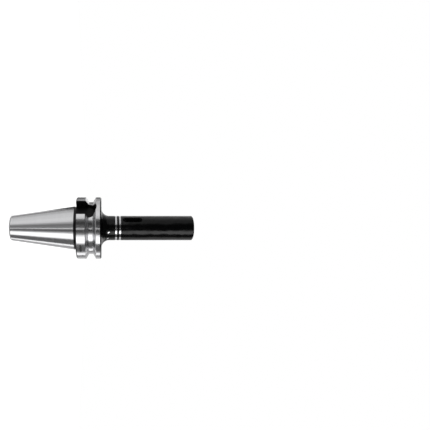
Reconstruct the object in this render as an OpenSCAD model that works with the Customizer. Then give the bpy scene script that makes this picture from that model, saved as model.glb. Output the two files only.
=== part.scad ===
// Steep-taper tool holder with a Morse taper socket, turned and milled from one bar of steel.
// The origin is on the axis at the gauge plane, and +Z runs towards the nose.
// It stands on its small end.

/* [Spindle taper] */
// Diameter of the taper at the gauge plane
gauge_d = 44.45; // [42:0.05:50]
// Distance from the gauge plane to the small end
taper_length = 65.4; // [62:0.1:75]
// Diameter that the taper loses over taper_run
taper_drop = 7; // [6:0.1:7.5]
// Length over which the taper loses taper_drop
taper_run = 24; // [23:0.5:28]
// Length of the bevel at the small end
tip_bevel_length = 1.2; // [0.5:0.1:2.5]
// Depth of the bevel at the small end
tip_bevel_depth = 0.6; // [0.3:0.1:1.2]
// Depth of the relief between the taper and the flange
relief_depth = 0.4; // [0.2:0.1:1]

/* [Flange] */
// Outer diameter of the flange
flange_d = 63; // [60:0.5:70]
// Distance from the gauge plane to the rear face of the flange
flange_back = 2; // [1.5:0.1:4]
// Thickness of the flange from its rear face to its front face
flange_thickness = 25; // [24:0.5:32]
// Bevel on the rear edge of the flange
rear_bevel = 0.9; // [0.2:0.1:1.5]
// Bevel on the front edge of the flange
front_bevel = 1; // [0.3:0.1:1.5]

/* [Gripper groove] */
// Distance from the rear face of the flange to the middle of the groove
groove_centre = 14.6; // [13:0.1:16]
// Width of the groove at the outside of the flange
groove_width = 10; // [8:0.1:11]
// Depth of the groove
groove_depth = 5; // [3:0.1:6]
// Angle between the walls of the groove
groove_angle = 60; // [40:1:70]
// Rounding where the groove meets the outside of the flange
groove_lip = 0.3; // [0.1:0.1:0.6]

/* [Drive slots] */
// Number of drive slots round the flange
slot_count = 2; // [1:1:3]
// Width of a drive slot
slot_width = 16.1; // [12:0.1:20]
// Height of a slot's floor above the taper at the gauge plane
slot_rise = 0.375; // [0.2:0.025:2]
// Distance from the rear face of the flange to a slot's round end
slot_reach = 19.6; // [17:0.1:22]
// Bevel along the edges of a slot
slot_bevel = 1; // [0.3:0.1:1.5]

/* [Nose] */
// Diameter of the nose
nose_d = 25; // [22:0.5:34]
// Distance from the gauge plane to the face of the nose
nose_reach = 120; // [115:1:170]
// Radius of the neck between the flange and the nose
neck_radius = 8; // [4:0.5:10]
// Bevel at the end of the nose
nose_bevel = 1; // [0.3:0.1:2]

/* [Bright rings] */
// Number of rings turned round the nose
ring_count = 2; // [1:1:3]
// Distance from the front face of the flange to the middle of the first ring
ring_start = 14.9; // [13:0.1:18]
// Distance from one ring to the next
ring_pitch = 4; // [3:0.1:6]
// Width of a ring
ring_width = 2.2; // [1:0.1:2.5]
// Depth of a ring
ring_depth = 0.25; // [0.1:0.05:0.5]

/* [Morse socket] */
// Diameter of the tapered socket at the face of the nose
socket_d = 12.065; // [11:0.005:14]
// Length over which the socket loses 1 mm of its diameter
socket_run = 20.047; // [19:0.001:21]
// Diameter of the hole that clears the tang
tang_d = 9.7; // [9:0.1:10.5]
// Distance that the tang hole runs into the drift slot
tang_reach = 4; // [1:0.5:8]
// Bevel at the mouth of the socket
socket_bevel = 0.5; // [0.2:0.1:1]

/* [Drift slot] */
// Width of the slot for the drift that knocks the tool out
drift_width = 5.4; // [4:0.1:7]
// Length of the slot from one round end to the other
drift_length = 19; // [15:0.5:24]
// Distance from the face of the nose to the slot
drift_start = 52; // [48:0.5:54]
// Bevel along the edges of the slot
drift_bevel = 0.4; // [0.2:0.1:0.8]

/* [Pull-stud hole] */
// Diameter of the pilot at the small end
pilot_d = 17; // [16.5:0.1:18]
// Depth of the pilot
pilot_depth = 6.6; // [5:0.1:8]
// Diameter of the undercut below the pilot
undercut_d = 18; // [17.4:0.1:19]
// Width of the undercut
undercut_width = 2.8; // [1.5:0.1:4]
// Nominal diameter of the stud's thread
thread_d = 16; // [14:0.5:16.5]
// Pitch of the stud's thread
thread_pitch = 2; // [1:0.25:2.5]
// Depth of the tapping hole from the small end
tapping_depth = 45.6; // [40:0.1:55]
// Bevel at the mouth of the pilot
pilot_bevel = 0.8; // [0.3:0.1:1.2]

/* [Draw bore] */
// Diameter of the bore from the pull-stud hole to the drift slot
bore_d = 12.5; // [8:0.1:13]
// Distance from the bore's full diameter to the drift slot
bore_stop = 2.5; // [1:0.1:4]
// Point angle of the drills
drill_angle = 118; // [90:1:140]

/* [Hidden] */
$fn = 128;
// What a cutter runs past the surface that it cuts
overrun = 3;
gauge_r = gauge_d / 2;
nose_r = nose_d / 2;
flange_r = flange_d / 2;
flange_front = flange_back + flange_thickness;
tip_z = -taper_length;
relief_r = gauge_r - relief_depth;
groove_z = flange_back + groove_centre;
slot_floor = gauge_r + slot_rise;
slot_r = slot_width / 2;
slot_end_z = flange_back + slot_reach;
drift_r = drift_width / 2;
drift_far_z = nose_reach - drift_start - drift_length;
drift_near_z = nose_reach - drift_start;
tang_depth = drift_start + tang_reach;
tapping_d = thread_d - thread_pitch;
tapping_end_z = tip_z + tapping_depth;
bore_end_z = drift_far_z - bore_stop;

// Radius of the taper at a height
function taper_radius(z) = gauge_r + z * taper_drop / taper_run / 2;
// Height of a drill's point above its full radius
function point_height(r) = r / tan(drill_angle / 2);

// Half of the lengthwise section of the bar, before any slot or hole
module turned_profile() {
    difference() {
        polygon([
            [0, tip_z],
            [taper_radius(tip_z) - tip_bevel_depth, tip_z],
            [taper_radius(tip_z + tip_bevel_length), tip_z + tip_bevel_length],
            [gauge_r, 0],
            [relief_r, 0],
            [relief_r, flange_back],
            [flange_r - rear_bevel, flange_back],
            [flange_r, flange_back + rear_bevel],
            [flange_r, flange_front - front_bevel],
            [flange_r - front_bevel, flange_front],
            [nose_r + neck_radius, flange_front],
            [nose_r + neck_radius, flange_front + neck_radius],
            [nose_r, flange_front + neck_radius],
            [nose_r, nose_reach - nose_bevel],
            [nose_r - nose_bevel, nose_reach],
            [0, nose_reach]
        ]);
        translate([nose_r + neck_radius, flange_front + neck_radius])
            circle(neck_radius);
        gripper_groove();
        for (i = [0 : ring_count - 1])
            translate([nose_r - ring_depth, flange_front + ring_start + i * ring_pitch - ring_width / 2])
                square([ring_depth + overrun, ring_width]);
    }
}

// Section of the V-shaped groove that a tool changer grips, with its lips broken
module gripper_groove() {
    half_width = groove_width / 2;
    slope = tan(groove_angle / 2);
    floor_half = half_width - groove_depth * slope;
    translate([flange_r, groove_z])
        polygon([
            [-groove_depth, -floor_half],
            [-groove_depth, floor_half],
            [-groove_lip, half_width - groove_lip * slope],
            [0, half_width + groove_lip],
            [overrun, half_width + groove_lip],
            [overrun, -half_width - groove_lip],
            [0, -half_width - groove_lip],
            [-groove_lip, -half_width + groove_lip * slope]
        ]);
}

// A bevel cutter for one side of a slot: it opens at 45 degrees from radius r at height y
module bevelled_end(r, y, height) {
    translate([0, y, 0])
        rotate([-90, 0, 0])
            cylinder(h = height, r1 = r, r2 = r + height);
}

// The same bevel along the straight part of a slot, from z1 to z2
module bevelled_run(r, y, height, z1, z2) {
    translate([0, 0, z1])
        linear_extrude(z2 - z1)
            polygon([[-r, y], [r, y], [r + height, y + height], [-r - height, y + height]]);
}

// One drive slot, cut from the rear face with its round end towards the nose
module drive_slot() {
    start_z = flange_back / 2;
    centre_z = slot_end_z - slot_r;
    edge_y = sqrt(pow(flange_r, 2) - pow(slot_r + slot_bevel, 2));
    bevel_y = edge_y - slot_bevel;
    cutter_top = flange_r + overrun;
    translate([-slot_r, slot_floor, start_z])
        cube([slot_width, cutter_top - slot_floor, centre_z - start_z]);
    translate([0, slot_floor, centre_z])
        rotate([-90, 0, 0])
            cylinder(h = cutter_top - slot_floor, r = slot_r);
    bevelled_run(slot_r, bevel_y, cutter_top - bevel_y, start_z, centre_z);
    translate([0, 0, centre_z])
        bevelled_end(slot_r, bevel_y, cutter_top - bevel_y);
}

// The slot through the nose, with round ends and a bevel on each side
module drift_slot() {
    low_z = drift_far_z + drift_r;
    high_z = drift_near_z - drift_r;
    edge_y = sqrt(pow(nose_r, 2) - pow(drift_r + drift_bevel, 2));
    bevel_y = edge_y - drift_bevel;
    cutter_top = nose_r + overrun;
    translate([-drift_r, -cutter_top, low_z])
        cube([drift_width, 2 * cutter_top, high_z - low_z]);
    for (z = [low_z, high_z])
        translate([0, -cutter_top, z])
            rotate([-90, 0, 0])
                cylinder(h = 2 * cutter_top, r = drift_r);
    for (side = [0, 1])
        mirror([0, side, 0]) {
            bevelled_run(drift_r, bevel_y, cutter_top - bevel_y, low_z, high_z);
            for (z = [low_z, high_z])
                translate([0, 0, z])
                    bevelled_end(drift_r, bevel_y, cutter_top - bevel_y);
        }
}

// The tapered socket and the hole behind it that clears the tang
module morse_socket() {
    socket_r = socket_d / 2;
    tang_r = tang_d / 2;
    socket_depth = (socket_d - tang_d) * socket_run;
    bevel_r = socket_r + socket_bevel;
    rotate_extrude()
        polygon([
            [0, nose_reach - tang_depth],
            [tang_r, nose_reach - tang_depth],
            [tang_r, nose_reach - socket_depth],
            [socket_r - socket_bevel / socket_run / 2, nose_reach - socket_bevel],
            [bevel_r, nose_reach],
            [bevel_r, nose_reach + overrun],
            [0, nose_reach + overrun]
        ]);
}

// The pilot, undercut, tapping hole and draw bore, drilled from the small end
module stud_hole() {
    pilot_r = pilot_d / 2;
    undercut_r = undercut_d / 2;
    thread_r = thread_d / 2;
    tapping_r = tapping_d / 2;
    bore_r = bore_d / 2;
    undercut_z = tip_z + pilot_depth;
    thread_z = undercut_z + undercut_width;
    rotate_extrude()
        polygon([
            [0, tip_z - overrun],
            [pilot_r + pilot_bevel, tip_z - overrun],
            [pilot_r + pilot_bevel, tip_z],
            [pilot_r, tip_z + pilot_bevel],
            [pilot_r, undercut_z],
            [undercut_r, undercut_z],
            [undercut_r, thread_z],
            [thread_r, thread_z],
            [tapping_r, thread_z + thread_r - tapping_r],
            [tapping_r, tapping_end_z],
            [bore_r, tapping_end_z + point_height(tapping_r - bore_r)],
            [bore_r, bore_end_z],
            [0, bore_end_z + point_height(bore_r)]
        ]);
}

module adapter_body() {
    color("silver")
        difference() {
            rotate_extrude()
                turned_profile();
            for (i = [0 : slot_count - 1])
                rotate([0, 0, 180 + i * 360 / slot_count])
                    drive_slot();
            drift_slot();
            morse_socket();
            stud_hole();
        }
}

adapter_body();
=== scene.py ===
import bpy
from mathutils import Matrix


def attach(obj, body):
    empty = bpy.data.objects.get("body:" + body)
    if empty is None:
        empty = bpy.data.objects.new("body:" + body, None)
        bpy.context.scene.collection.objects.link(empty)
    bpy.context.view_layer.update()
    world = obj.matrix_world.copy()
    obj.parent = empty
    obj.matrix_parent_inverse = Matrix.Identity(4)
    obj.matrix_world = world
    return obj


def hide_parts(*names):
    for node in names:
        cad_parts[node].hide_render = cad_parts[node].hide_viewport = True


bl_info = {
    "name": "Taper Tool Holder",
    "version": (1, 0, 0),
    "blender": (4, 5, 0),
    "location": "View3D > Sidebar > Holder",
    "description": "Builds a steep-taper tool holder with a Morse taper socket, and its studio",
    "category": "Object",
}

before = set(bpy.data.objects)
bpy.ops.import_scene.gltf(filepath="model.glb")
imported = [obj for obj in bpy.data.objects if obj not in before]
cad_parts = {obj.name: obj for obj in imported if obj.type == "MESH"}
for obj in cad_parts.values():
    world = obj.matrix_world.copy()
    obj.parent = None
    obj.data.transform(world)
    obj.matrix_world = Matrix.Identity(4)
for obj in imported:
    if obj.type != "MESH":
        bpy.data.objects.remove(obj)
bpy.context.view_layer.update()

import math

import bpy
from bpy.props import FloatProperty, FloatVectorProperty, IntProperty, PointerProperty
from mathutils import Matrix, Vector

MM = 0.001
BODY_NODE = "adapter_body"
BODY_PIECE = "holder_body"
# Finishes that a face of the body can have
GROUND, OXIDE, MILLED, TURNED = 0, 1, 2, 3

# Corners of the section: the least turn that is rounded, the turn of each step in a small and in
# a wide round, the radius from which a round is wide, and the most of a side that it may take
LEAST_TURN = math.radians(12)
SMALL_STEP, WIDE_STEP = math.radians(23), math.radians(3.5)
WIDE_ROUND = 0.5 * MM
SIDE_SHARE = 0.45
NECK_STEPS = 32
# Section of the thread over one turn: share of the pitch, and share of the depth
THREAD_SHAPE = ((0.0, 0.0), (0.24, 0.0), (0.44, 0.94), (0.5, 1.0), (0.56, 1.0), (0.62, 0.94),
                (0.82, 0.0))
# Slots: steps in a round end, how far the bevel runs on past the skin for each unit of bevel,
# and the room of the drift slot's cutter outside the nose
SLOT_STEPS = 60
BEVEL_OVERRUN = 1.6
CUTTER_ROOM = 2 * MM
# Points closer than this are one, in the turned grid and after the slots are cut
GRID_GAP, CUT_GAP = 0.5e-6, 1e-6
# Edges that turn more than this stay sharp
CREASE = math.radians(4)


def length(name, description, millimetres):
    """A length that the sidebar shows in the scene's unit."""
    return FloatProperty(name=name, description=description, default=millimetres * MM,
                         min=0.0, precision=5, unit="LENGTH", subtype="DISTANCE")


def turn_of(name, description, degrees):
    """An angle."""
    return FloatProperty(name=name, description=description, default=math.radians(degrees),
                         subtype="ANGLE")


def count_of(name, description, value, least, most):
    """A whole number between two others."""
    return IntProperty(name=name, description=description, default=value, min=least, max=most)


def share(name, description, value, top=1.0):
    """A plain number from 0 to top."""
    return FloatProperty(name=name, description=description, default=value, min=0.0, max=top)


def colour(name, description, value):
    """A linear colour."""
    return FloatVectorProperty(name=name, description=description, default=value, size=3,
                               subtype="COLOR", min=0.0, max=1.0)


class HolderSizes(bpy.types.PropertyGroup):
    """Sizes of the holder, as in the part's source"""
    gauge_d: length("Gauge Diameter", "Diameter of the taper at the gauge plane", 44.45)
    taper_length: length("Taper Length", "Distance from the gauge plane to the small end", 65.4)
    taper_slope: share("Taper Slope", "Radius that the taper loses for each unit of length", 7 / 48)
    tip_bevel_length: length("Tip Bevel Length", "Length of the bevel at the small end", 1.2)
    tip_bevel_depth: length("Tip Bevel Depth", "Depth of the bevel at the small end", 0.6)
    relief_depth: length("Relief Depth", "Depth of the relief between taper and flange", 0.4)
    flange_d: length("Flange Diameter", "Outer diameter of the flange", 63)
    flange_back: length("Flange Back", "Distance from the gauge plane to the flange", 2)
    flange_thickness: length("Flange Thickness", "Thickness of the flange", 25)
    rear_bevel: length("Rear Bevel", "Bevel on the rear edge of the flange", 0.9)
    front_bevel: length("Front Bevel", "Bevel on the front edge of the flange", 1)
    groove_centre: length("Groove Centre", "Distance from the flange's rear face to the groove",
                          14.6)
    groove_width: length("Groove Width", "Width of the groove at the outside", 10)
    groove_depth: length("Groove Depth", "Depth of the groove", 5)
    groove_angle: turn_of("Groove Angle", "Angle between the groove's walls", 60)
    groove_lip: length("Groove Lip", "Broken edge of the groove", 0.3)
    slot_count: count_of("Drive Slots", "Number of drive slots", 2, 1, 3)
    slot_width: length("Drive Slot Width", "Width of a drive slot", 16.1)
    slot_floor: length("Drive Slot Floor", "Distance from the axis to a drive slot's floor", 22.6)
    slot_reach: length("Drive Slot Reach", "Length of a drive slot from the rear face", 19.6)
    slot_bevel: length("Drive Slot Bevel", "Bevel along the edges of a drive slot", 1)
    nose_d: length("Nose Diameter", "Diameter of the nose", 25)
    nose_reach: length("Nose Reach", "Distance from the gauge plane to the nose's face", 120)
    neck_radius: length("Neck Radius", "Radius between flange and nose", 8)
    nose_bevel: length("Nose Bevel", "Bevel at the end of the nose", 1)
    ring_count: count_of("Rings", "Number of bright rings", 2, 0, 3)
    ring_start: length("First Ring", "Distance from the flange's front face to a ring", 14.9)
    ring_pitch: length("Ring Pitch", "Distance from one ring to the next", 4)
    ring_width: length("Ring Width", "Width of a ring", 2.2)
    ring_depth: length("Ring Depth", "Depth of a ring", 0.25)
    socket_d: length("Socket Diameter", "Diameter of the Morse socket at the face", 12.065)
    socket_run: FloatProperty(name="Socket Run", description="Length for each unit of taper",
                              default=20.047, min=1.0)
    socket_bevel: length("Socket Bevel", "Bevel at the mouth of the socket", 0.5)
    tang_d: length("Tang Hole Diameter", "Diameter of the hole that clears the tang", 9.7)
    tang_depth: length("Tang Hole Depth", "Depth of the tang hole from the face", 56)
    drift_width: length("Drift Slot Width", "Width of the drift slot", 5.4)
    drift_length: length("Drift Slot Length", "Length of the drift slot", 19)
    drift_start: length("Drift Slot Start", "Distance from the nose's face to the slot", 52)
    drift_bevel: length("Drift Slot Bevel", "Bevel along the edges of the drift slot", 0.4)
    pilot_d: length("Pilot Diameter", "Diameter of the pilot at the small end", 17)
    pilot_depth: length("Pilot Depth", "Depth of the pilot", 6.6)
    pilot_bevel: length("Pilot Bevel", "Bevel at the mouth of the pilot", 0.8)
    undercut_d: length("Undercut Diameter", "Diameter of the undercut", 18)
    undercut_width: length("Undercut Width", "Width of the undercut", 2.8)
    thread_d: length("Thread Diameter", "Nominal diameter of the stud's thread", 16)
    thread_pitch: length("Thread Pitch", "Pitch of the stud's thread", 2)
    thread_end: length("Thread End", "Distance from the small end to the thread's end", 38.8)
    tapping_depth: length("Tapping Depth", "Depth of the tapping hole", 45.6)
    bore_d: length("Draw Bore Diameter", "Diameter of the draw bore", 12.5)
    bore_stop: length("Draw Bore Stop", "Distance from the draw bore to the drift slot", 2.5)
    drill_angle: turn_of("Drill Angle", "Point angle of the drills", 118)
    edge_round: length("Edge Round", "Radius of the broken edges", 0.15)
    black_margin: length("Black Margin", "Black left where a ground face stops short of an edge",
                         0.3)
    segments: count_of("Segments", "Faces round the holder", 192, 32, 256)


class HolderFinish(bpy.types.PropertyGroup):
    """Colours and polish of the holder"""
    steel_colour: colour("Ground Steel", "Colour of the ground steel", (0.60, 0.60, 0.61))
    steel_roughness: share("Ground Roughness", "Roughness of the ground steel", 0.18)
    turned_roughness: share("Turned Roughness", "Roughness of the groove's turned walls", 0.25)
    oxide_colour: colour("Black Oxide", "Colour of the black oxide", (0.0008, 0.0008, 0.0009))
    oxide_roughness: share("Oxide Roughness", "Roughness of the black oxide", 0.2)
    etch_colour: colour("Etched Patch", "Colour of the etched patch", (0.16, 0.16, 0.16))
    etch_length: length("Etch Length", "Length of the etched patch round the flange", 10.5)
    etch_width: length("Etch Width", "Width of the etched patch", 2.8)
    etch_place: length("Etch Place", "Distance from the gauge plane to the etched patch", 7)
    etch_turn: turn_of("Etch Turn", "Direction of the etched patch round Z", -8.7)


class HolderStudio(bpy.types.PropertyGroup):
    """Camera, floor and lights"""
    camera_distance: length("Camera Distance", "Distance from the axis to the camera", 421)
    camera_height: length("Camera Height", "Height of the camera over the gauge plane", 31.35)
    camera_turn: turn_of("Camera Turn", "Direction of the camera round Z", 312)
    lens: FloatProperty(name="Lens", description="Focal length in millimetres", default=34.25,
                        min=1.0)
    shift_x: FloatProperty(name="Shift X", description="Sideways shift of the lens",
                           default=0.2543)
    shift_y: FloatProperty(name="Shift Y", description="Upward shift of the lens",
                           default=0.0303)
    fill: share("Fill Light", "Strength of the world on matt surfaces", 0.6, 2.0)
    card_distance: length("Card Distance", "Distance from the axis to the cards", 900)
    floor_size: length("Floor Size", "Width of the floor", 2400)


def corner_round(before, here, after, radius):
    """Points of the arc that breaks one corner of a section, from its first to its last."""
    here = Vector(here)
    back = Vector(before) - here
    ahead = Vector(after) - here
    turn = math.pi - back.angle(ahead)
    if radius <= 0 or turn < LEAST_TURN:
        return [here]
    reach = radius * math.tan(turn / 2)
    reach = min(reach, SIDE_SHARE * back.length, SIDE_SHARE * ahead.length)
    radius = reach / math.tan(turn / 2)
    start = here + back.normalized() * reach
    middle = (back.normalized() + ahead.normalized()).normalized()
    centre = here + middle * math.hypot(radius, reach)
    arm = start - centre
    way = 1 if back.x * ahead.y - back.y * ahead.x < 0 else -1
    # Small rounds stay faceted; wide ones are fine enough to be shaded smooth
    steps = max(2, math.ceil(turn / (SMALL_STEP if radius < WIDE_ROUND else WIDE_STEP)))
    points = []
    for i in range(steps + 1):
        angle = way * turn * i / steps
        points.append(centre + Vector((arm.x * math.cos(angle) - arm.y * math.sin(angle),
                                       arm.x * math.sin(angle) + arm.y * math.cos(angle))))
    return points


def holder_section(s):
    """The section of the turned bar, from the draw bore's point round to the tang hole.

    Each row is (radius, height, finish of the face after it, turn of the thread or -1,
    depth of the thread from 0 to 1).
    """
    gauge_r, flange_r, nose_r = s.gauge_d / 2, s.flange_d / 2, s.nose_d / 2
    tip_z = -s.taper_length
    front_z = s.flange_back + s.flange_thickness
    relief_r = gauge_r - s.relief_depth

    def taper_r(z):
        return gauge_r + z * s.taper_slope

    def point_height(r):
        return r / math.tan(s.drill_angle / 2)

    bore_r, tapping_r, thread_r = s.bore_d / 2, (s.thread_d - s.thread_pitch) / 2, s.thread_d / 2
    pilot_r, undercut_r = s.pilot_d / 2, s.undercut_d / 2
    bore_top = s.nose_reach - s.drift_start - s.drift_length - s.bore_stop
    tapping_top = tip_z + s.tapping_depth
    undercut_z = tip_z + s.pilot_depth
    thread_z = undercut_z + s.undercut_width
    thread_top = tip_z + s.thread_end
    edge = s.edge_round
    fine = edge / 2
    margin = s.black_margin
    bore = [
        (0, bore_top + point_height(bore_r), 0, OXIDE),
        (bore_r, bore_top, 0, OXIDE),
        (bore_r, tapping_top + point_height(tapping_r - bore_r), 0, OXIDE),
        (tapping_r, tapping_top, 0, OXIDE),
        (tapping_r, thread_top, 0, OXIDE),
    ]
    mouth = [
        (thread_r, thread_z, 0, OXIDE),
        (undercut_r, thread_z, fine, OXIDE),
        (undercut_r, undercut_z, 0, OXIDE),
        (pilot_r, undercut_z, fine, GROUND),
        (pilot_r, tip_z + s.pilot_bevel, fine, GROUND),
        (pilot_r + s.pilot_bevel, tip_z, fine, OXIDE),
        (taper_r(tip_z) - s.tip_bevel_depth, tip_z, edge, GROUND),
        (taper_r(tip_z + s.tip_bevel_length), tip_z + s.tip_bevel_length, edge, GROUND),
        (taper_r(-margin - edge), -margin - edge, 0, OXIDE),
        (gauge_r, 0, edge, OXIDE),
        (relief_r, 0, 0, OXIDE),
        (relief_r, s.flange_back, 2 * edge, OXIDE),
        (flange_r - s.rear_bevel, s.flange_back, fine, OXIDE),
        (flange_r, s.flange_back + s.rear_bevel, fine, OXIDE),
        (flange_r, s.flange_back + s.rear_bevel + margin / 2, 0, GROUND),
    ]
    half_width = s.groove_width / 2
    slope = math.tan(s.groove_angle / 2)
    floor_half = half_width - s.groove_depth * slope
    lip_half = half_width - s.groove_lip * slope
    groove_z = s.flange_back + s.groove_centre
    groove = [
        (flange_r, groove_z - half_width - s.groove_lip, fine, GROUND),
        (flange_r - s.groove_lip, groove_z - lip_half, fine, TURNED),
        (flange_r - s.groove_depth, groove_z - floor_half, 4 * edge, GROUND),
        (flange_r - s.groove_depth, groove_z + floor_half, 4 * edge, TURNED),
        (flange_r - s.groove_lip, groove_z + lip_half, fine, GROUND),
        (flange_r, groove_z + half_width + s.groove_lip, fine, GROUND),
    ]
    neck = [
        (flange_r, front_z - s.front_bevel - margin / 2, 0, OXIDE),
        (flange_r, front_z - s.front_bevel, fine, OXIDE),
        (flange_r - s.front_bevel, front_z, fine, OXIDE),
    ]
    neck_r = s.neck_radius
    for i in range(NECK_STEPS + 1):
        angle = math.pi / 2 * i / NECK_STEPS
        neck.append((nose_r + neck_r - neck_r * math.sin(angle),
                     front_z + neck_r - neck_r * math.cos(angle), 0, OXIDE))
    rings = []
    for i in range(s.ring_count):
        low = front_z + s.ring_start + i * s.ring_pitch - s.ring_width / 2
        high = low + s.ring_width
        rings += [
            (nose_r, low, fine, OXIDE),
            (nose_r - s.ring_depth, low, 0, OXIDE),
            (nose_r - s.ring_depth, low + margin, 0, GROUND),
            (nose_r - s.ring_depth, high - margin, 0, OXIDE),
            (nose_r - s.ring_depth, high, 0, OXIDE),
            (nose_r, high, fine, OXIDE),
        ]
    socket_r, tang_r = s.socket_d / 2, s.tang_d / 2
    socket_depth = (s.socket_d - s.tang_d) * s.socket_run
    nose = [
        (nose_r, s.nose_reach - s.nose_bevel, edge, OXIDE),
        (nose_r - s.nose_bevel, s.nose_reach, edge, OXIDE),
        (socket_r + s.socket_bevel, s.nose_reach, fine, GROUND),
        (socket_r - s.socket_bevel / s.socket_run / 2, s.nose_reach - s.socket_bevel, fine, GROUND),
        (tang_r, s.nose_reach - socket_depth, 0, OXIDE),
        (tang_r, s.nose_reach - s.tang_depth, 0, OXIDE),
        (0, s.nose_reach - s.tang_depth, 0, OXIDE),
    ]
    corners = bore + mouth + groove + neck + rings + nose
    rows = []
    for i, (r, z, radius, finish) in enumerate(corners):
        if 0 < i < len(corners) - 1:
            points = corner_round(corners[i - 1][:2], (r, z), corners[i + 1][:2], radius)
        else:
            points = [Vector((r, z))]
        rows += [(p.x, p.y, finish, -1.0, 0.0) for p in points]
        if i == len(bore) - 1:
            turns = math.ceil((thread_top - thread_z) / s.thread_pitch) + 1
            rows += reversed([(tapping_r, thread_z, OXIDE, turn + place, depth)
                              for turn in range(turns) for place, depth in THREAD_SHAPE])
    return rows


def section_mesh(name, rows):
    """A helper mesh whose points carry the rows of a section."""
    mesh = bpy.data.meshes.new(name)
    mesh.from_pydata([(r, 0, z) for r, z, *_ in rows],
                     [(i, i + 1) for i in range(len(rows) - 1)], [])
    for key, kind, column in (("finish", "INT", 2), ("turn", "FLOAT", 3), ("depth", "FLOAT", 4)):
        data = mesh.attributes.new(key, kind, "POINT").data
        for point, row in zip(data, rows):
            point.value = row[column]
    return mesh


def round_slot(r, low, high, side_heights=(), round_low=True):
    """Outline of a slot with a round upper end and a round or flat lower one.

    Each row is (x, z, and the direction away from the slot in x and z).
    """
    def half_circle(centre, start):
        rows = []
        for i in range(SLOT_STEPS + 1):
            angle = start + math.pi * i / SLOT_STEPS
            rows.append((r * math.cos(angle), centre + r * math.sin(angle),
                         math.cos(angle), math.sin(angle)))
        return rows

    left = [(-r, z, -1, 0) for z in reversed(side_heights)]
    bottom = half_circle(low + r, math.pi) if round_low else [(-r, low, -1, 0), (r, low, 1, 0)]
    right = [(r, z, 1, 0) for z in side_heights]
    return half_circle(high - r, 0.0) + left + bottom + right


def bevelled_rings(outline, bevel, skin, top):
    """Rings of a cutter that opens with a bevel where the slot meets the skin.

    skin gives the height of the skin over a point in x and z; the bevel runs on past it to top.
    """
    wall, past = [], []
    for x, z, away_x, away_z in outline:
        low = skin(x, z) - bevel
        rise = skin(x + bevel * away_x, z + bevel * away_z) - low
        wall.append((x, low, z))
        out_by = BEVEL_OVERRUN * bevel
        past.append((x + out_by * away_x, low + BEVEL_OVERRUN * rise, z + out_by * away_z))
    return [wall, past, [(x, top, z) for x, _, z in past]]


def slot_cutter(name, rings):
    """A closed cutter between rings of points that lie one above the other along Y."""
    count = len(rings[0])
    points = [point for ring in rings for point in ring]
    faces = []
    for layer in range(len(rings) - 1):
        for i in range(count):
            j = (i + 1) % count
            a, b = layer * count, (layer + 1) * count
            faces.append((a + i, a + j, b + j, b + i))
    faces.append(tuple(reversed(range(count))))
    last = (len(rings) - 1) * count
    faces.append(tuple(range(last, last + count)))
    mesh = bpy.data.meshes.new(name)
    mesh.from_pydata(points, [], faces)
    if signed_volume(mesh) < 0:
        mesh.flip_normals()
    finish = mesh.attributes.new("finish", "INT", "FACE").data
    for value in finish:
        value.value = MILLED
    return add_object(name, mesh)


def add_object(name, data):
    """A new object in the scene."""
    made = bpy.data.objects.new(name, data)
    bpy.context.collection.objects.link(made)
    return made


def signed_volume(mesh):
    """Volume of a closed mesh, below zero where its faces point inwards."""
    mesh.calc_loop_triangles()
    total = 0.0
    for tri in mesh.loop_triangles:
        a, b, c = (mesh.vertices[i].co for i in tri.vertices)
        total += a.dot(b.cross(c)) / 6
    return total


def drive_slot_cutter(s):
    """Cutter of one drive slot, which faces +Y, with a bevel along its edge and in the groove."""
    groove_z = s.flange_back + s.groove_centre
    slope = math.tan(s.groove_angle / 2)
    groove_floor = s.flange_d / 2 - s.groove_depth

    def skin(x, z):
        on_wall = abs(z - groove_z) - s.groove_width / 2 + s.groove_depth * slope
        r = groove_floor + min(max(on_wall / slope, 0.0), s.groove_depth)
        return math.sqrt(r * r - x * x)

    high = s.flange_back + s.slot_reach
    heights = [groove_z - s.groove_width / 2 + s.groove_lip * i for i in (-1, 0, 2, 4)]
    outline = round_slot(s.slot_width / 2, s.flange_back / 2, high, heights, round_low=False)
    floor = [(x, s.slot_floor, z) for x, z, *_ in outline]
    rings = bevelled_rings(outline, s.slot_bevel, skin, s.flange_d / 2 + 2 * s.slot_bevel)
    return slot_cutter("drive_slot_cutter", [floor, *rings])


def drift_slot_cutter(s):
    """Cutter of the slot through the nose, with a bevel at both mouths."""
    high = s.nose_reach - s.drift_start
    outline = round_slot(s.drift_width / 2, high - s.drift_length, high)
    rings = bevelled_rings(outline, s.drift_bevel,
                           lambda x, z: math.sqrt(s.nose_d ** 2 / 4 - x * x),
                           s.nose_d / 2 + CUTTER_ROOM)
    far = [[(x, -y, z) for x, y, z in ring] for ring in reversed(rings)]
    return slot_cutter("drift_slot_cutter", far + rings)


class Tree:
    """Adds nodes to a tree and links them as they are made."""

    def __init__(self, tree):
        self.tree = tree

    def node(self, kind, settings=None, **inputs):
        """A node of a kind with its settings and inputs; a value or a socket goes into each."""
        made = self.tree.nodes.new(kind)
        for key, value in (settings or {}).items():
            setattr(made, key, value)
        for key, value in inputs.items():
            self.put(made, key.replace("_", " "), value)
        return made

    def put(self, made, key, value):
        """Sets or links the first enabled input of a name, or the input of a number."""
        if isinstance(key, int):
            socket = made.inputs[key]
        else:
            named = [i for i in made.inputs if i.name.lower() == key.lower()]
            socket = next((i for i in named if i.enabled), named[0] if named else None)
            if socket is None:
                raise KeyError(f"{made.bl_idname} has no input {key}")
        if isinstance(value, bpy.types.NodeSocket):
            self.tree.links.new(value, socket)
        else:
            socket.default_value = value

    def math(self, operation, a, b=None, kind="ShaderNodeMath"):
        """One step of arithmetic."""
        made = self.tree.nodes.new(kind)
        made.operation = operation
        self.put(made, 0, a)
        if b is not None:
            self.put(made, 1, b)
        return made.outputs[0]


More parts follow.
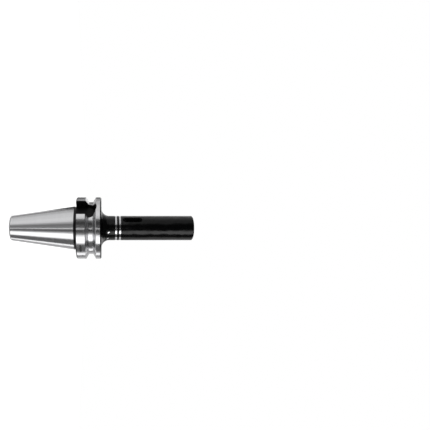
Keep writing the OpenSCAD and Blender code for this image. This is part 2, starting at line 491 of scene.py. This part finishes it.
def out(node, name=None):
    """The enabled output of a name, or the first enabled one."""
    for socket in node.outputs:
        if socket.enabled and (name is None or socket.name == name):
            return socket
    raise KeyError(name)


def turning_tree():
    """Turns a section round Z, winds its thread rows, cuts the slots and sets the finishes."""
    tree = bpy.data.node_groups.new("turned_holder", "GeometryNodeTree")
    face = tree.interface
    face.new_socket("Section", in_out="INPUT", socket_type="NodeSocketGeometry")
    for name, kind in (("Segments", "NodeSocketInt"), ("Pitch", "NodeSocketFloat"),
                       ("Thread Low", "NodeSocketFloat"), ("Thread High", "NodeSocketFloat"),
                       ("Crest Radius", "NodeSocketFloat"), ("Root Radius", "NodeSocketFloat"),
                       ("Slot Count", "NodeSocketInt"), ("Drive Cutter", "NodeSocketObject"),
                       ("Drift Cutter", "NodeSocketObject"), ("Ground", "NodeSocketMaterial"),
                       ("Oxide", "NodeSocketMaterial"), ("Milled", "NodeSocketMaterial"),
                       ("Turned", "NodeSocketMaterial")):
        face.new_socket(name, in_out="INPUT", socket_type=kind)
    face.new_socket("Geometry", in_out="OUTPUT", socket_type="NodeSocketGeometry")
    t = Tree(tree)
    given = tree.nodes.new("NodeGroupInput").outputs
    whole = {"kind": "FunctionNodeIntegerMath"}

    rows = out(t.node("GeometryNodeAttributeDomainSize", Geometry=given["Section"]), "Point Count")
    columns = t.math("ADD", given["Segments"], 1, **whole)
    grid = t.node("GeometryNodeMeshGrid", Vertices_X=columns, Vertices_Y=rows)
    index = out(t.node("GeometryNodeInputIndex"))
    row = t.math("MODULO", index, rows, **whole)
    column = t.math("DIVIDE", index, rows, **whole)
    part = t.math("DIVIDE", column, given["Segments"])
    angle = t.math("MULTIPLY", part, 2 * math.pi)

    def sample(kind, value, at):
        return out(t.node("GeometryNodeSampleIndex", {"data_type": kind, "domain": "POINT"},
                          Geometry=given["Section"], Value=value, Index=at))

    def stored(kind, name):
        return out(t.node("GeometryNodeInputNamedAttribute", {"data_type": kind}, Name=name))

    place = t.node("ShaderNodeSeparateXYZ",
                   Vector=sample("FLOAT_VECTOR", out(t.node("GeometryNodeInputPosition")), row))
    turn = sample("FLOAT", stored("FLOAT", "turn"), row)
    depth = sample("FLOAT", stored("FLOAT", "depth"), row)

    wound = t.math("ADD", t.math("SUBTRACT", turn, 1.0), part)
    high = t.math("ADD", given["Thread Low"], t.math("MULTIPLY", wound, given["Pitch"]))
    high = t.math("MAXIMUM", t.math("MINIMUM", high, given["Thread High"]), given["Thread Low"])
    left = t.math("DIVIDE", t.math("SUBTRACT", given["Thread High"], high), given["Pitch"])
    left = t.math("MINIMUM", left, 1.0)
    tall = t.math("SUBTRACT", given["Root Radius"], given["Crest Radius"])
    cut = t.math("MULTIPLY", t.math("MULTIPLY", depth, left), tall)
    cut = t.math("ADD", given["Crest Radius"], cut)
    lead = t.math("SUBTRACT", given["Root Radius"], t.math("SUBTRACT", high, given["Thread Low"]))
    cut = t.math("MAXIMUM", cut, lead)

    threaded = compared(t, "FLOAT", "GREATER_EQUAL", turn, 0.0)
    radius = switch(t, threaded, place.outputs["X"], cut)
    height = switch(t, threaded, place.outputs["Z"], high)
    spot = t.node("ShaderNodeCombineXYZ", X=t.math("MULTIPLY", radius, t.math("COSINE", angle)),
                  Y=t.math("MULTIPLY", radius, t.math("SINE", angle)), Z=height)
    bar = out(t.node("GeometryNodeSetPosition", Geometry=out(grid, "Mesh"), Position=out(spot)))

    strip = t.math("MODULO", index, t.math("SUBTRACT", rows, 1, **whole), **whole)
    bar = out(t.node("GeometryNodeStoreNamedAttribute", {"data_type": "INT", "domain": "FACE"},
                     Geometry=bar, Name="finish",
                     Value=sample("INT", stored("INT", "finish"), strip)))
    bar = out(t.node("GeometryNodeMergeByDistance", Geometry=bar, Distance=GRID_GAP))
    bar = out(t.node("GeometryNodeFlipFaces", Mesh=bar))

    drive = out(t.node("GeometryNodeObjectInfo", Object=given["Drive Cutter"]), "Geometry")
    drift = out(t.node("GeometryNodeObjectInfo", Object=given["Drift Cutter"]), "Geometry")
    seats = t.node("GeometryNodePoints", Count=given["Slot Count"])
    each = t.math("DIVIDE", 2 * math.pi, given["Slot Count"])
    spin = t.node("ShaderNodeCombineXYZ", Z=t.math("MULTIPLY", index, each))
    copies = t.node("GeometryNodeInstanceOnPoints", Points=out(seats), Instance=drive,
                    Rotation=out(spin))
    copies = out(t.node("GeometryNodeRealizeInstances", Geometry=out(copies)))
    for cutter in (copies, drift):
        bar = out(t.node("GeometryNodeMeshBoolean",
                         {"operation": "DIFFERENCE", "solver": "MANIFOLD"},
                         Mesh_1=bar, Mesh_2=cutter), "Mesh")
    bar = out(t.node("GeometryNodeMergeByDistance", Geometry=bar, Distance=CUT_GAP))

    smooth = t.node("GeometryNodeSetShadeSmooth", {"domain": "FACE"}, Shade_Smooth=True)
    t.put(smooth, 0, bar)
    turned_by = out(t.node("GeometryNodeInputMeshEdgeAngle"), "Unsigned Angle")
    crease = compared(t, "FLOAT", "GREATER_THAN", turned_by, CREASE)
    sharp = t.node("GeometryNodeSetShadeSmooth", {"domain": "EDGE"}, Selection=crease,
                   Shade_Smooth=False)
    t.put(sharp, 0, out(smooth))
    bar = out(t.node("GeometryNodeRealizeInstances", Geometry=out(sharp)))
    bar = out(t.node("GeometryNodeSetMaterial", Geometry=bar, Material=given["Ground"]))
    for name, finish in (("Oxide", OXIDE), ("Milled", MILLED), ("Turned", TURNED)):
        chosen = compared(t, "INT", "EQUAL", stored("INT", "finish"), finish)
        bar = out(t.node("GeometryNodeSetMaterial", Geometry=bar, Selection=chosen,
                         Material=given[name]))
    tree.links.new(bar, tree.nodes.new("NodeGroupOutput").inputs["Geometry"])
    return tree


def compared(t, kind, operation, a, b):
    """True where one value stands so to another."""
    return out(t.node("FunctionNodeCompare", {"data_type": kind, "operation": operation},
                      A=a, B=b))


def switch(t, test, off, on):
    """Picks one of two numbers."""
    made = t.tree.nodes.new("GeometryNodeSwitch")
    made.input_type = "FLOAT"
    t.put(made, "Switch", test)
    t.put(made, "False", off)
    t.put(made, "True", on)
    return out(made)


def bake_nodes(raw, tree, inputs, name):
    """Runs a Geometry Nodes tree on a helper object and keeps the result as a plain mesh."""
    modifier = raw.modifiers.new(tree.name, "NODES")
    modifier.node_group = tree
    for item in tree.interface.items_tree:
        if item.in_out == "INPUT" and item.name in inputs:
            modifier[item.identifier] = inputs[item.name]
    graph = bpy.context.evaluated_depsgraph_get()
    mesh = bpy.data.meshes.new_from_object(raw.evaluated_get(graph), depsgraph=graph)
    raw.modifiers.remove(modifier)
    if not mesh.polygons:
        raise RuntimeError(f"{name} came out empty")
    if signed_volume(mesh) < 0:
        mesh.flip_normals()
    # The grid's own empty slot comes first, and every face has a finish
    mesh.materials.pop(index=0)
    mesh.name = name
    return add_object(name, mesh)


def new_group(name, inputs, outputs):
    """A shader node group that takes and gives numbers."""
    group = bpy.data.node_groups.new(name, "ShaderNodeTree")
    for key, value in inputs.items():
        socket = group.interface.new_socket(key, in_out="INPUT", socket_type="NodeSocketFloat")
        socket.default_value = value
    for key in outputs:
        group.interface.new_socket(key, in_out="OUTPUT", socket_type="NodeSocketFloat")
    return (group, Tree(group), group.nodes.new("NodeGroupInput").outputs,
            group.nodes.new("NodeGroupOutput").inputs)


def object_place(t):
    """X, Y and Z of a point on the holder."""
    spot = t.node("ShaderNodeTexCoord").outputs["Object"]
    return t.node("ShaderNodeSeparateXYZ", Vector=spot).outputs


def turned_lines_group():
    """Fine lines round Z from a cutting or grinding pass, and slower streaks among them."""
    group, t, given, result = new_group(
        "turned_lines", {"Line Pitch": 0.15 * MM, "Streak Pitch": 2 * MM, "Wander": 9.0},
        ("Lines", "Streaks"))
    place = object_place(t)
    x = t.math("MULTIPLY", place["X"], given["Wander"])
    y = t.math("MULTIPLY", place["Y"], given["Wander"])
    for pitch, name, seed in (("Line Pitch", "Lines", 3.1), ("Streak Pitch", "Streaks", 7.7)):
        z = t.math("ADD", t.math("DIVIDE", place["Z"], given[pitch]), seed)
        spot = t.node("ShaderNodeCombineXYZ", X=x, Y=y, Z=z)
        noise = t.node("ShaderNodeTexNoise", {"noise_dimensions": "3D"}, Vector=out(spot),
                       Scale=1.0, Detail=1.0, Roughness=0.5)
        group.links.new(out(noise), result[name])
    return group


def handling_group():
    """Slow, cloudy change of polish from handling and oil."""
    group, t, given, result = new_group("handling", {"Patch Size": 20 * MM}, ("Cloud",))
    place = t.node("ShaderNodeTexCoord").outputs["Object"]
    spot = t.node("ShaderNodeVectorMath", {"operation": "SCALE"}, Vector=place,
                  Scale=t.math("DIVIDE", 1.0, given["Patch Size"]))
    noise = t.node("ShaderNodeTexNoise", {"noise_dimensions": "3D"}, Vector=out(spot),
                   Scale=1.0, Detail=3.0, Roughness=0.55)
    group.links.new(out(noise), result["Cloud"])
    return group


def placed(t, group, **inputs):
    """Outputs of a node group placed in a material with its own values."""
    made = t.tree.nodes.new("ShaderNodeGroup")
    made.node_tree = group
    for key, value in inputs.items():
        t.put(made, key.replace("_", " "), value)
    return made.outputs


def new_material(name):
    """A material with a Principled shader, its tree helper and the shader node."""
    material = bpy.data.materials.new(name)
    material.use_nodes = True
    shader = material.node_tree.nodes["Principled BSDF"]
    return material, Tree(material.node_tree), shader


def around(t, value, centre, spread):
    """centre + (value - 0.5) * spread, for a noise that lies round a half."""
    return t.math("ADD", centre, t.math("MULTIPLY", t.math("SUBTRACT", value, 0.5), spread))


def blend_colour(t, factor, first, second):
    """A colour between two, by a factor."""
    return out(t.node("ShaderNodeMix", {"data_type": "RGBA"}, Factor=factor, A=first, B=second),
               "Result")


def mottled(t, factor, plain, spread):
    """A colour that goes from darker to lighter than plain by a share of it, with a factor."""
    first, second = ((*[v * (1 + way * spread) for v in plain], 1) for way in (-1, 1))
    return blend_colour(t, factor, first, second)


def faded(t, a, b, none, full):
    """A mask by the length of the vector (a, b): 0 from none outwards, 1 from full inwards."""
    far = t.math("SQRT", t.math("ADD", t.math("MULTIPLY", a, a), t.math("MULTIPLY", b, b)))
    return out(t.node("ShaderNodeMapRange", {"interpolation_type": "SMOOTHSTEP"}, Value=far,
                      From_Min=none, From_Max=full))


# Width over which the etched patch fades out, and the roughness that it adds
ETCH_FADE = 0.5 * MM
ETCH_ROUGHNESS = 0.12


def etched_mask(t, finish, radius):
    """A plain round-ended patch on the flange, a quarter turn from the drive slots."""
    place = object_place(t)
    turn = t.math("ARCTAN2", place["Y"], place["X"])
    turn = t.math("SUBTRACT", turn, finish.etch_turn)
    along = t.math("ABSOLUTE", t.math("MULTIPLY", turn, radius))
    run = (finish.etch_length - finish.etch_width) / 2
    beyond = t.math("MAXIMUM", t.math("SUBTRACT", along, run), 0.0)
    across = t.math("SUBTRACT", place["Z"], finish.etch_place)
    half = finish.etch_width / 2
    return faded(t, beyond, across, half, half - ETCH_FADE)


# Painted highlights on the neck: small patches of bare steel that make bright spots, not wear.
# Direction in degrees round Z, height, and half of the length round the neck and along it, in
# millimetres
NECK_HIGHLIGHT_PATCHES = (
    (-26.5, 34.4, 1.2, 1.2),
    (9.5, 33.3, 1.5, 1.2),
)
# The painted highlights lean, and fade out from a core
HIGHLIGHT_LEAN = 0.7
HIGHLIGHT_CORE = 0.4


def painted_highlight_mask(t, radius):
    """Where the neck's black skin is painted as bare steel, to make painted highlights."""
    place = object_place(t)
    turn = t.math("ARCTAN2", place["Y"], place["X"])
    total = 0.0
    for degrees, height, round_half, along_half in NECK_HIGHLIGHT_PATCHES:
        across = t.math("MULTIPLY", t.math("SUBTRACT", turn, math.radians(degrees)),
                        radius / (round_half * MM))
        along = t.math("DIVIDE", t.math("SUBTRACT", place["Z"], height * MM), along_half * MM)
        along = t.math("ADD", along, t.math("MULTIPLY", across, HIGHLIGHT_LEAN))
        total = t.math("MAXIMUM", total, faded(t, across, along, 1.0, HIGHLIGHT_CORE))
    return total


# Change of roughness in the steel, from handling and from its lines, and the quarter turn that
# puts the stretch of its reflections along the axis
STEEL_CLOUD, STEEL_LINES = 0.06, 0.05
GRAIN_TURN = 0.25
# What the black skin and the milled slots reflect, by the shader's index of refraction
SKIN_IOR = 1.45


def bright_steel(name, finish, lines, handling, roughness, grain):
    """Steel with fine lines round the axis that draw its reflections out along the axis."""
    material, t, shader = new_material(name)
    marks = placed(t, lines, Line_Pitch=0.16 * MM, Streak_Pitch=2.2 * MM, Wander=14.0)
    cloud = placed(t, handling, Patch_Size=26 * MM)["Cloud"]
    tone = mottled(t, marks["Streaks"], finish.steel_colour, 0.03)
    t.put(shader, "Base Color", tone)
    t.put(shader, "Metallic", 1.0)
    rough = around(t, marks["Lines"], around(t, cloud, roughness, STEEL_CLOUD), STEEL_LINES)
    t.put(shader, "Roughness", rough)
    t.put(shader, "Anisotropic", grain)
    t.put(shader, "Anisotropic Rotation", GRAIN_TURN)
    t.put(shader, "Tangent", t.node("ShaderNodeTangent", {"direction_type": "RADIAL", "axis": "Z"})
          .outputs["Tangent"])
    bump = t.node("ShaderNodeBump", Strength=0.5, Distance=0.0015 * MM, Height=marks["Lines"])
    t.put(shader, "Normal", out(bump))
    return material, t, shader, tone, rough


def ground_steel(finish, lines, handling, flange_r):
    """Bright ground steel with the etched patch."""
    material, t, shader, tone, rough = bright_steel("ground_steel", finish, lines, handling,
                                                    finish.steel_roughness, 0.4)
    etched = etched_mask(t, finish, flange_r)
    t.put(shader, "Base Color", blend_colour(t, etched, tone, (*finish.etch_colour, 1)))
    t.put(shader, "Roughness", t.math("ADD", rough, t.math("MULTIPLY", etched, ETCH_ROUGHNESS)))
    return material


def turned_steel(finish, lines, handling):
    """The groove's walls, left as the lathe tool cut them."""
    material, *_ = bright_steel("turned_steel", finish, lines, handling, finish.turned_roughness,
                                1.0)
    return material


def black_oxide(finish, lines, handling, neck_r):
    """Turned steel under a blackened, lightly oiled skin."""
    material, t, shader = new_material("black_oxide")
    marks = placed(t, lines, Line_Pitch=0.22 * MM, Streak_Pitch=3.5 * MM, Wander=22.0)
    cloud = placed(t, handling, Patch_Size=14 * MM)["Cloud"]
    waves = placed(t, handling, Patch_Size=32 * MM)["Cloud"]
    # Painted highlights: bare steel on two small patches of the neck
    neck_highlight = painted_highlight_mask(t, neck_r)
    skin = mottled(t, marks["Streaks"], finish.oxide_colour, 0.3)
    t.put(shader, "Base Color", blend_colour(t, neck_highlight, skin, (*finish.steel_colour, 1)))
    t.put(shader, "Metallic", neck_highlight)
    t.put(shader, "Roughness", around(t, cloud, finish.oxide_roughness, 0.1))
    t.put(shader, "IOR", SKIN_IOR)
    t.put(shader, "Specular IOR Level", 0.3)
    fine = t.node("ShaderNodeBump", Strength=0.5, Distance=0.002 * MM, Height=marks["Lines"])
    slow = t.node("ShaderNodeBump", Strength=1.0, Distance=2 * MM, Height=waves)
    t.put(slow, "Normal", out(fine))
    t.put(shader, "Normal", out(slow))
    return material


def milled_oxide(finish, handling):
    """The duller black of the milled slots."""
    material, t, shader = new_material("milled_oxide")
    cloud = placed(t, handling, Patch_Size=3 * MM)["Cloud"]
    t.put(shader, "Base Color", mottled(t, cloud, finish.oxide_colour, 0.4))
    t.put(shader, "Roughness", around(t, cloud, 0.5, 0.15))
    t.put(shader, "IOR", SKIN_IOR)
    t.put(shader, "Specular IOR Level", 0.2)
    bump = t.node("ShaderNodeBump", Strength=0.4, Distance=0.01 * MM, Height=cloud)
    t.put(shader, "Normal", out(bump))
    return material


class HOLDER_OT_body(bpy.types.Operator):
    """Turn the holder's body from its section, cut its slots and give it its finishes"""
    bl_idname = "holder.body"
    bl_label = "Holder Body"

    def execute(self, context):
        s = context.scene.holder_sizes
        finish = context.scene.holder_finish
        lines, handling = turned_lines_group(), handling_group()
        steel = ground_steel(finish, lines, handling, s.flange_d / 2)
        oxide = black_oxide(finish, lines, handling, s.nose_d / 2)
        section = add_object("holder_section", section_mesh("holder_section", holder_section(s)))
        cutters = drive_slot_cutter(s), drift_slot_cutter(s)
        thread_low = -s.taper_length + s.pilot_depth + s.undercut_width
        body = bake_nodes(section, turning_tree(), {
            "Segments": s.segments,
            "Pitch": s.thread_pitch,
            "Thread Low": thread_low,
            "Thread High": -s.taper_length + s.thread_end,
            "Crest Radius": (s.thread_d - s.thread_pitch) / 2,
            "Root Radius": s.thread_d / 2,
            "Slot Count": s.slot_count,
            "Drive Cutter": cutters[0],
            "Drift Cutter": cutters[1],
            "Ground": steel,
            "Oxide": oxide,
            "Milled": milled_oxide(finish, handling),
            "Turned": turned_steel(finish, lines, handling),
        }, BODY_PIECE)
        for helper in (section, *cutters):
            mesh = helper.data
            bpy.data.objects.remove(helper)
            bpy.data.meshes.remove(mesh)
        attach(body, "root")
        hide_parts(BODY_NODE)
        return {"FINISHED"}


def look_at(place, aim, up):
    """A matrix for a camera or lamp at a place that looks at a point, with a given up."""
    back = (place - aim).normalized()
    right = up.cross(back).normalized()
    top = back.cross(right)
    turned = Matrix((right, top, back)).transposed().to_4x4()
    return Matrix.Translation(place) @ turned


def studio_direction(studio, degrees):
    """A level direction from the axis, counted from the camera towards the picture's top."""
    angle = studio.camera_turn - math.radians(degrees)
    return Vector((math.cos(angle), math.sin(angle), 0))


def white_world(fill):
    """White to the camera and in reflections, and a plain fill on matt surfaces."""
    world = bpy.data.worlds.new("studio_world")
    world.use_nodes = True
    t = Tree(world.node_tree)
    path = t.node("ShaderNodeLightPath").outputs
    seen = t.math("MAXIMUM", path["Is Camera Ray"], path["Is Glossy Ray"])
    seen = t.math("MAXIMUM", seen, path["Is Transmission Ray"])
    strength = t.math("ADD", fill, t.math("MULTIPLY", seen, 1.0 - fill))
    background = world.node_tree.nodes["Background"]
    t.put(background, "Color", (1, 1, 1, 1))
    t.put(background, "Strength", strength)
    bpy.context.scene.world = world


def add_camera(studio):
    """The camera at the photograph's angle, rolled so that the axis lies level in the picture."""
    data = bpy.data.cameras.new("photo_camera")
    data.lens = studio.lens
    data.shift_x, data.shift_y = studio.shift_x, studio.shift_y
    data.clip_start, data.clip_end = 10 * MM, 20000 * MM
    camera = add_object("photo_camera", data)
    foot = Vector((0, 0, studio.camera_height))
    place = foot + studio_direction(studio, 0) * studio.camera_distance
    camera.matrix_world = look_at(place, foot, studio_direction(studio, 90))
    bpy.context.scene.camera = camera


# Keeps the floor out of the small end's plane
FLOOR_GAP = 0.05 * MM
FLOOR_GREY = (0.8, 0.8, 0.8, 1)
# What the floor adds to its grey for the camera, to be near white
FLOOR_GLOW = 0.65


def add_floor(studio, low):
    """A pale floor under the small end, near white to the camera with a soft shadow.

    From below it is clear, so that the small end can be looked at.
    """
    half = studio.floor_size / 2
    mesh = bpy.data.meshes.new("studio_floor")
    mesh.from_pydata([(-half, -half, low), (half, -half, low), (half, half, low),
                      (-half, half, low)], [], [(0, 1, 2, 3)])
    material, t, shader = new_material("floor_paper")
    t.put(shader, "Base Color", FLOOR_GREY)
    t.put(shader, "Roughness", 0.9)
    t.put(shader, "Specular IOR Level", 0.0)
    t.put(shader, "Emission Color", (1, 1, 1, 1))
    path = t.node("ShaderNodeLightPath").outputs
    t.put(shader, "Emission Strength", t.math("MULTIPLY", path["Is Camera Ray"], FLOOR_GLOW))
    clear = t.node("ShaderNodeMixShader",
                   Fac=t.node("ShaderNodeNewGeometry").outputs["Backfacing"])
    t.put(clear, 1, shader.outputs["BSDF"])
    t.put(clear, 2, out(t.node("ShaderNodeBsdfTransparent")))
    t.put(material.node_tree.nodes["Material Output"], "Surface", out(clear))
    mesh.materials.append(material)
    floor = add_object("studio_floor", mesh)
    floor.visible_glossy = False


# Cards and soft boxes round the holder: name, first and last angle in degrees from the camera,
# and the brightness that the taper, the flange and the nose see there
CARDS = (
    ("low back wall", -180, -134, 0.62, 0.62, 0.55),
    ("low back wall", -134, -118, 0.53, 0.34, 0.55),
    ("rim box", -118, -104, 1.75, 1.75, 1.1),
    ("rim box edge", -104, -97, 0.16, 0.65, 0.4),
    ("bench", -97, -92, 0.17, 0.25, 0.07),
    ("bench", -92, -64, 0.17, 0.17, 0.07),
    ("key box edge", -64, -59, 1.4, 0.21, 0.1),
    ("key box", -59, -56, 1.9, 1.1, 3.2),
    ("key box", -56, -31, 1.9, 1.9, 3.2),
    ("key box edge", -31, -24, 0.75, 1.15, 0.85),
    ("front flag", -24, -16, 0.22, 0.22, 0.04),
    ("front flag", -16, -11, 0.12, 0.1, 0.03),
    ("front flag", -11, -5, 0.12, 0.02, 0.03),
    ("gap card", -5, -1, 1.4, 1.1, 0.06),
    ("front card", -1, 12, 0.29, 0.14, 0.04),
    ("front card", 12, 24, 0.25, 0.05, 0.04),
    ("top card edge", 24, 33, 0.53, 0.16, 0.06),
    ("top card", 33, 43, 0.93, 1.06, 0.15),
    ("top card", 43, 62, 1.01, 1.11, 0.56),
    ("top card", 62, 82, 0.92, 0.98, 0.6),
    ("top card", 82, 95, 0.88, 0.9, 0.77),
    ("high back wall", 95, 118, 0.7, 0.7, 0.95),
    ("high back wall", 118, 136, 0.32, 0.45, 0.85),
    ("high back wall", 136, 180, 0.75, 0.19, 1.05),
)
# Heights where one band of cards ends and the next begins; between the taper's band and the
# flange's some walls have a gap, and in the last band, over the nose's, only some run on up
CARD_HEIGHTS = (-700 * MM, -190 * MM, -80 * MM, 50 * MM, 520 * MM, 960 * MM)
WALL_GAPS = {"high back wall": 0.04}
TALL_WALLS = {"low back wall": 1.6, "high back wall": 0.5, "key box": 0.8}
LOWER_END_GLOW, UPPER_END_GLOW = 0.45, 0.06
# Degrees that one flat face of a card spans, sides of the two ends, and their overlap
CARD_STEP = 4
END_SIDES = 24
END_REACH = 1.02


def add_cards(studio):
    """Grey and white cards that only reflections see: five bands round the axis and two ends."""
    points, faces, glow = [], [], []
    for name, first, last, taper_level, flange_level, nose_level in CARDS:
        levels = (taper_level, WALL_GAPS.get(name, flange_level), flange_level, nose_level,
                  TALL_WALLS.get(name, UPPER_END_GLOW))
        steps = max(1, round((last - first) / CARD_STEP))
        for i in range(steps):
            edges = [studio_direction(studio, first + (last - first) * j / steps)
                     * studio.card_distance for j in (i, i + 1)]
            for band, brightness in enumerate(levels):
                base = len(points)
                points += [(spot.x, spot.y, z) for spot in edges
                           for z in CARD_HEIGHTS[band:band + 2]]
                faces.append((base, base + 1, base + 3, base + 2))
                glow.append(brightness)
    for z, brightness in ((CARD_HEIGHTS[0], LOWER_END_GLOW), (CARD_HEIGHTS[-1], UPPER_END_GLOW)):
        base = len(points)
        for i in range(END_SIDES):
            spot = studio_direction(studio, 360 * i / END_SIDES) * studio.card_distance * END_REACH
            points.append((spot.x, spot.y, z))
        faces.append(tuple(range(base, base + END_SIDES)))
        glow.append(brightness)
    mesh = bpy.data.meshes.new("studio_cards")
    mesh.from_pydata(points, [], faces)
    data = mesh.attributes.new("glow", "FLOAT", "FACE").data
    for value, brightness in zip(data, glow):
        value.value = brightness
    material = bpy.data.materials.new("card_paper")
    material.use_nodes = True
    material.node_tree.nodes.clear()
    t = Tree(material.node_tree)
    level = t.node("ShaderNodeAttribute", {"attribute_name": "glow"}).outputs["Fac"]
    shine = t.node("ShaderNodeEmission", Strength=level)
    t.node("ShaderNodeOutputMaterial", Surface=out(shine))
    mesh.materials.append(material)
    cards = add_object("studio_cards", mesh)
    for kind in ("camera", "diffuse", "shadow", "transmission", "volume_scatter"):
        setattr(cards, "visible_" + kind, False)


# Upright lamps for the floor's shadow: name, direction and width in degrees, and radiance
LAMPS = (
    ("key_lamp", -44, 31, 3.2),
    ("rim_lamp", -110, 18, 1.9),
)
LAMP_DISTANCE = 750 * MM
LAMP_HEIGHT = 1300 * MM


def add_lamps(studio):
    """Soft lamps beside the holder; the cards stand for them in reflections."""
    for name, degrees, spread, radiance in LAMPS:
        data = bpy.data.lights.new(name, "AREA")
        data.shape = "RECTANGLE"
        data.size = 2 * LAMP_DISTANCE * math.tan(math.radians(spread / 2))
        data.size_y = LAMP_HEIGHT
        data.energy = radiance * math.pi * data.size * data.size_y
        lamp = add_object(name, data)
        aim = Vector((0, 0, studio.camera_height))
        place = aim + studio_direction(studio, degrees) * LAMP_DISTANCE
        lamp.matrix_world = look_at(place, aim, Vector((0, 0, 1)))
        lamp.visible_camera = False
        lamp.visible_glossy = False


class HOLDER_OT_studio(bpy.types.Operator):
    """Set up the camera, the floor, the cards and the lamps"""
    bl_idname = "holder.studio"
    bl_label = "Studio"

    def execute(self, context):
        studio = context.scene.holder_studio
        context.scene.view_settings.view_transform = "Standard"
        white_world(studio.fill)
        add_camera(studio)
        add_floor(studio, -context.scene.holder_sizes.taper_length - FLOOR_GAP)
        add_cards(studio)
        add_lamps(studio)
        return {"FINISHED"}


class HOLDER_PT_sidebar(bpy.types.Panel):
    """Sizes, finishes and studio of the holder"""
    bl_idname = "HOLDER_PT_sidebar"
    bl_label = "Taper Tool Holder"
    bl_space_type = "VIEW_3D"
    bl_region_type = "UI"
    bl_category = "Holder"

    def draw(self, context):
        scene = context.scene
        for operator, group in ((HOLDER_OT_body, scene.holder_sizes),
                                (None, scene.holder_finish),
                                (HOLDER_OT_studio, scene.holder_studio)):
            column = self.layout.column(align=True)
            for key in group.__annotations__:
                column.prop(group, key)
            if operator:
                self.layout.operator(operator.bl_idname)


CLASSES = (HolderSizes, HolderFinish, HolderStudio, HOLDER_OT_body, HOLDER_OT_studio,
           HOLDER_PT_sidebar)
GROUPS = {"holder_sizes": HolderSizes, "holder_finish": HolderFinish,
          "holder_studio": HolderStudio}


def register():
    for cls in CLASSES:
        bpy.utils.register_class(cls)
    for key, group in GROUPS.items():
        setattr(bpy.types.Scene, key, PointerProperty(type=group))


def unregister():
    for key in GROUPS:
        delattr(bpy.types.Scene, key)
    for cls in reversed(CLASSES):
        bpy.utils.unregister_class(cls)


def main():
    register()
    bpy.ops.holder.body()
    bpy.ops.holder.studio()


if __name__ == "__main__":
    main()
